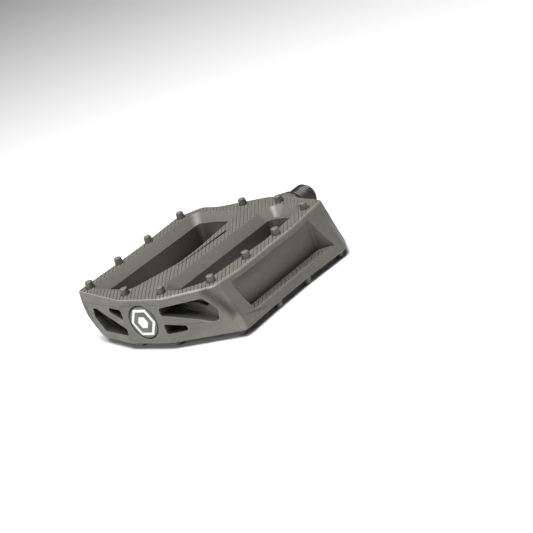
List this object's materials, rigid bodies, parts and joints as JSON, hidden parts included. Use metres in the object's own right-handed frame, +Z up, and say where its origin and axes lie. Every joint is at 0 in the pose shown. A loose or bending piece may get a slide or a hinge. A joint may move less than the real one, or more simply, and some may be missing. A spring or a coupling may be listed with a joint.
{
  "type": "flat platform pedal",
  "caption": "Moulded flat pedal with pockets, a web of windows and traction pins, turning on a threaded spindle.",
  "frame": {"origin": "on the spindle's axis, in the plane of the shoulder that seats on the crank", "axes": "+X along the spindle into the crank, +Z up out of the upper tread, +Y across the foot; the platform level"},
  "size_m": [0.1418, 0.106, 0.031],
  "materials": {
    "nylon_charcoal": "matt moulded, glass-filled",
    "cap_plastic": "satin",
    "black_steel": "black oxide, oiled",
    "bearing_steel": "ground",
    "bright_steel": "polished",
    "rubber": "matt"
  },
  "bodies": {
    "spindle": {"spindle": "black_steel", "spindle_o_ring": "rubber", "adjusting_cone": "bearing_steel", "tab_washer": "bright_steel", "lock_nut": "bright_steel"},
    "platform": {"pedal_body": "nylon_charcoal", "dust_cap": "cap_plastic", "dust_collar": "nylon_charcoal", "inboard_cup": "bearing_steel", "outboard_cup": "bearing_steel"},
    "inboard_ball_ring": {"inboard_ball_01": "bright_steel", "inboard_ball_02": "bright_steel", "inboard_ball_03": "bright_steel", "inboard_ball_04": "bright_steel", "inboard_ball_05": "bright_steel", "inboard_ball_06": "bright_steel", "inboard_ball_07": "bright_steel", "inboard_ball_08": "bright_steel", "inboard_ball_09": "bright_steel", "inboard_ball_10": "bright_steel"},
    "outboard_ball_ring": {"outboard_ball_01": "bright_steel", "outboard_ball_02": "bright_steel", "outboard_ball_03": "bright_steel", "outboard_ball_04": "bright_steel", "outboard_ball_05": "bright_steel", "outboard_ball_06": "bright_steel", "outboard_ball_07": "bright_steel", "outboard_ball_08": "bright_steel", "outboard_ball_09": "bright_steel", "outboard_ball_10": "bright_steel"}
  },
  "joints": [
    {"name": "platform_spin", "type": "hinge", "parent": "spindle", "child": "platform", "pos_m": [0, 0, 0], "axis": [1, 0, 0], "continuous": true},
    {"name": "inboard_balls_roll", "type": "hinge", "parent": "spindle", "child": "inboard_ball_ring", "pos_m": [0, 0, 0], "axis": [1, 0, 0], "continuous": true},
    {"name": "outboard_balls_roll", "type": "hinge", "parent": "spindle", "child": "outboard_ball_ring", "pos_m": [0, 0, 0], "axis": [1, 0, 0], "continuous": true}
  ],
  "couplings": [
    {"joint": "inboard_balls_roll", "follows": "platform_spin", "ratio": 0.5935},
    {"joint": "outboard_balls_roll", "follows": "platform_spin", "ratio": 0.5935}
  ]
}
